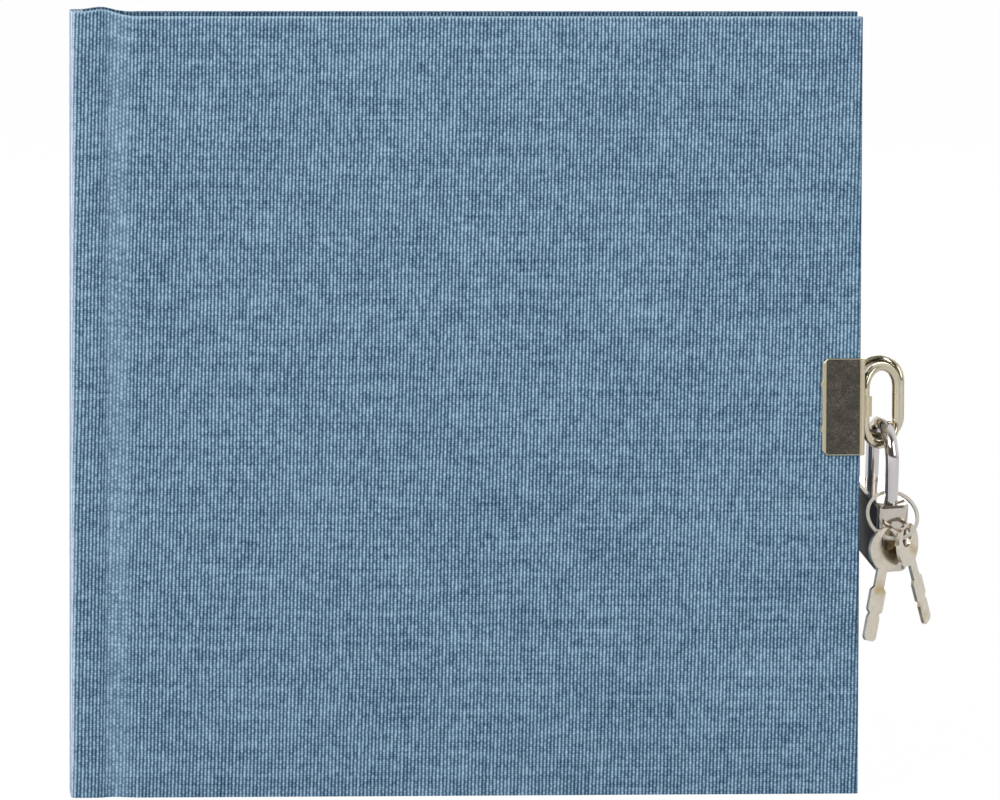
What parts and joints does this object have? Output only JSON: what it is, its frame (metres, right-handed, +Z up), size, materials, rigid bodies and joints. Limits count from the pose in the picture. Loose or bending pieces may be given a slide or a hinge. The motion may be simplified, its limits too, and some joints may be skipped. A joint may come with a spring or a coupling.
{
  "type": "diary with lock",
  "caption": "Square case-bound diary in blue linen, held shut at the fore-edge by clips, oval rings and a small padlock with keys on a split ring.",
  "frame": {"origin": "middle of the spine's foot, where the book stands", "axes": "+X from the spine to the fore-edge, +Y from the front cover to the back cover, +Z up along the spine"},
  "size_m": [0.1835, 0.028, 0.166],
  "materials": {
    "linen": "plain-weave linen, light blue threads over navy gaps",
    "greyboard": "dense grey board",
    "endpaper": "smooth off-white endpaper",
    "leaves": "cream writing paper",
    "lining": "starched gauze",
    "clip_metal": "antique nickel, worn bright at the edges",
    "ring_metal": "polished nickel wire",
    "lock_chrome": "polished chrome plate",
    "lock_plate": "plain zinc plate",
    "lock_brass": "machined brass",
    "spring_steel": "drawn spring steel",
    "key_nickel": "stamped nickel plate"
  },
  "bodies": {
    "book": {"spine_cloth": "linen", "spine_board": "greyboard", "front_hinge_strip": "greyboard", "back_hinge_strip": "greyboard", "front_guard": "endpaper", "back_guard": "endpaper", "first_fold": "leaves", "gathering_2": "leaves", "gathering_3": "leaves", "gathering_4": "leaves", "gathering_5": "leaves", "gathering_6": "leaves", "spine_lining": "lining"},
    "front_cover": {"front_board": "greyboard", "front_cover_cloth": "linen", "front_pastedown": "endpaper", "front_clip": "clip_metal"},
    "back_cover": {"back_board": "greyboard", "back_cover_cloth": "linen", "back_pastedown": "endpaper", "rear_clip": "clip_metal"},
    "front_flyleaf": {"front_flyleaf": "endpaper"},
    "back_flyleaf": {"back_flyleaf": "endpaper"},
    "first_leaves": {"first_leaves": "leaves"},
    "front_ring": {"front_ring": "ring_metal"},
    "rear_ring": {"rear_ring": "ring_metal"},
    "shackle": {"shackle": "lock_chrome"},
    "lock_body": {"lock_case": "lock_chrome", "lock_base_plate": "lock_plate", "lock_rivets": "lock_plate", "bolt_spring": "spring_steel", "shackle_spring": "spring_steel", "shackle_stop_pin": "lock_plate"},
    "lock_plug": {"lock_plug": "lock_brass"},
    "locking_bolt": {"locking_bolt": "lock_brass"},
    "key_ring": {"key_ring": "key_nickel"},
    "key_1": {"key_1": "key_nickel"},
    "key_2": {"key_2": "key_nickel"}
  },
  "joints": [
    {"name": "front_cover_hinge", "type": "hinge", "parent": "book", "child": "front_cover", "pos_m": [0.00765, -0.0072, 0.0825], "axis": [0, 0, -1], "range_deg": [0, 170]},
    {"name": "back_cover_hinge", "type": "hinge", "parent": "book", "child": "back_cover", "pos_m": [0.00765, 0.0072, 0.0825], "axis": [0, 0, 1], "range_deg": [0, 170]},
    {"name": "front_flyleaf_turn", "type": "hinge", "parent": "book", "child": "front_flyleaf", "pos_m": [0.0143, -0.0035, 0.0825], "axis": [0, 0, -1], "range_deg": [0, 119]},
    {"name": "first_leaves_turn", "type": "hinge", "parent": "book", "child": "first_leaves", "pos_m": [0.0153, -0.00325, 0.0825], "axis": [0, 0, -1], "range_deg": [0, 59.5]},
    {"name": "back_flyleaf_turn", "type": "hinge", "parent": "book", "child": "back_flyleaf", "pos_m": [0.0143, 0.0035, 0.0825], "axis": [0, 0, 1], "range_deg": [0, 102]},
    {"name": "front_ring_pivot", "type": "hinge", "parent": "front_cover", "child": "front_ring", "pos_m": [0.16695, -0.0054, 0.0825], "axis": [0, 0, 1], "range_deg": [-0.6, 0.6]},
    {"name": "rear_ring_pivot", "type": "hinge", "parent": "back_cover", "child": "rear_ring", "pos_m": [0.16695, 0.0054, 0.0835], "axis": [0, 0, 1], "range_deg": [-0.4, 0.4]},
    {"name": "padlock_swing", "type": "hinge", "parent": "rear_ring", "child": "shackle", "pos_m": [0.17152, -0.00001, 0.07825], "axis": [-0.1805, 0.9509, 0.2512], "range_deg": [-10, 2]},
    {"name": "shackle_release", "type": "slide", "parent": "shackle", "child": "lock_body", "axis": [0, 0.2554, -0.9668], "range_m": [0, 0.008], "deforming": ["shackle_spring"]},
    {"name": "plug_turn", "type": "hinge", "parent": "lock_body", "child": "lock_plug", "pos_m": [0.17152, 0.00769, 0.0491], "axis": [0, -0.2554, 0.9668], "range_deg": [0, 90]},
    {"name": "bolt_slide", "type": "slide", "parent": "lock_body", "child": "locking_bolt", "axis": [-0.1805, 0.9509, 0.2512], "range_m": [0, 0.002], "deforming": ["bolt_spring"]},
    {"name": "key_ring_swing", "type": "hinge", "parent": "shackle", "child": "key_ring", "pos_m": [0.17241, -0.00118, 0.06374], "axis": [-0.9836, -0.1745, -0.0461], "range_deg": [0, 25]},
    {"name": "key_1_swing", "type": "hinge", "parent": "key_ring", "child": "key_1", "pos_m": [0.17172, -0.00654, 0.05451], "axis": [-0.5878, 0.809, 0], "range_deg": [-8, 20]},
    {"name": "key_2_swing", "type": "hinge", "parent": "key_ring", "child": "key_2", "pos_m": [0.17565, -0.00586, 0.05466], "axis": [-0.8387, 0.5446, 0], "range_deg": [-10, 20]}
  ],
  "couplings": [
    {"joint": "front_flyleaf_turn", "follows": "front_cover_hinge", "ratio": 0.7},
    {"joint": "first_leaves_turn", "follows": "front_cover_hinge", "ratio": 0.35},
    {"joint": "back_flyleaf_turn", "follows": "back_cover_hinge", "ratio": 0.6},
    {"joint": "bolt_slide", "follows": "shackle_release", "ratio": 0.25},
    {"joint": "plug_turn", "follows": "shackle_release", "rad_per_m": 196.35}
  ]
}
